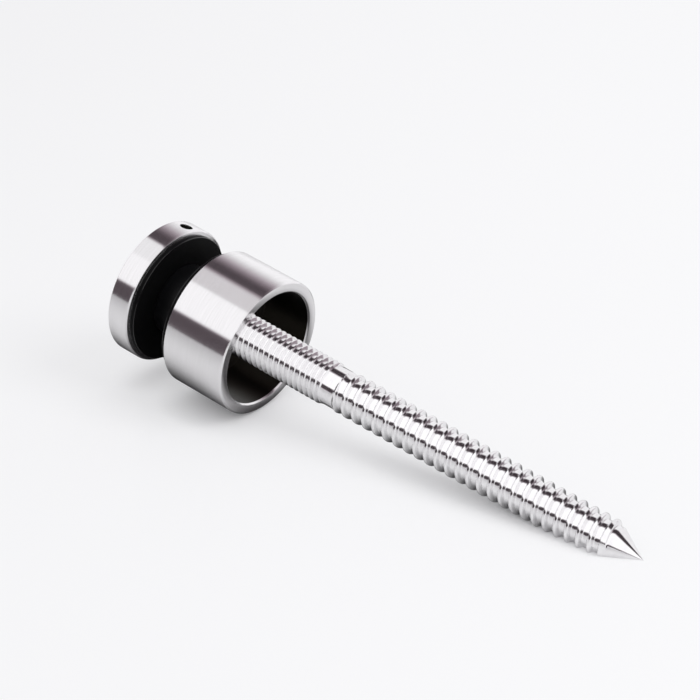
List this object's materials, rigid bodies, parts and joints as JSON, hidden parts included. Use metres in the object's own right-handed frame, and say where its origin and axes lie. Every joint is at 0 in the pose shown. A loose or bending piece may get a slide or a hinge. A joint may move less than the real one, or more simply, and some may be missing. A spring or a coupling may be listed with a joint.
{
  "type": "glass panel standoff",
  "caption": "Round stainless standoff that clamps a drilled glass panel between a cap and a barrel, on a hanger bolt that screws into timber.",
  "frame": {"origin": "centre of the cap's outer face, where the axis of the bolt meets it", "axes": "+Z along the hanger bolt from the cap to the point; +X and +Y across it, with the cap's pin hole 60 degrees from +X towards -Y"},
  "size_m": [0.038, 0.038, 0.1577],
  "materials": {
    "brushed_stainless": "turned, fine rings of brushing round the axis",
    "bright_stainless": "bright rolled thread",
    "black_rubber": "smooth matt moulded",
    "black_sleeve": "satin moulded"
  },
  "bodies": {
    "bolt": {"hanger_bolt": "bright_stainless"},
    "cap_seals": {"cap_gasket": "black_rubber", "glass_sleeve": "black_sleeve"},
    "cap": {"cap": "brushed_stainless"},
    "barrel_seal": {"barrel_gasket": "black_rubber"},
    "barrel": {"barrel": "brushed_stainless"}
  },
  "joints": [
    {"name": "cap_travel", "type": "slide", "parent": "bolt", "child": "cap_seals", "axis": [0, 0, -1], "range_m": [0, 0.0101]},
    {"name": "cap_turn", "type": "hinge", "parent": "cap_seals", "child": "cap", "pos_m": [0, 0, 0.004], "axis": [0, 0, -1], "range_deg": [0, 2070]},
    {"name": "barrel_travel", "type": "slide", "parent": "bolt", "child": "barrel_seal", "axis": [0, 0, 1], "range_m": [0, 0.0351]},
    {"name": "barrel_turn", "type": "hinge", "parent": "barrel_seal", "child": "barrel", "pos_m": [0, 0, 0.0222], "axis": [0, 0, 1], "range_deg": [0, 7200]}
  ],
  "couplings": [
    {"joint": "cap_travel", "follows": "cap_turn", "m_per_rad": 0.00027852},
    {"joint": "barrel_travel", "follows": "barrel_turn", "m_per_rad": 0.00027852}
  ]
}
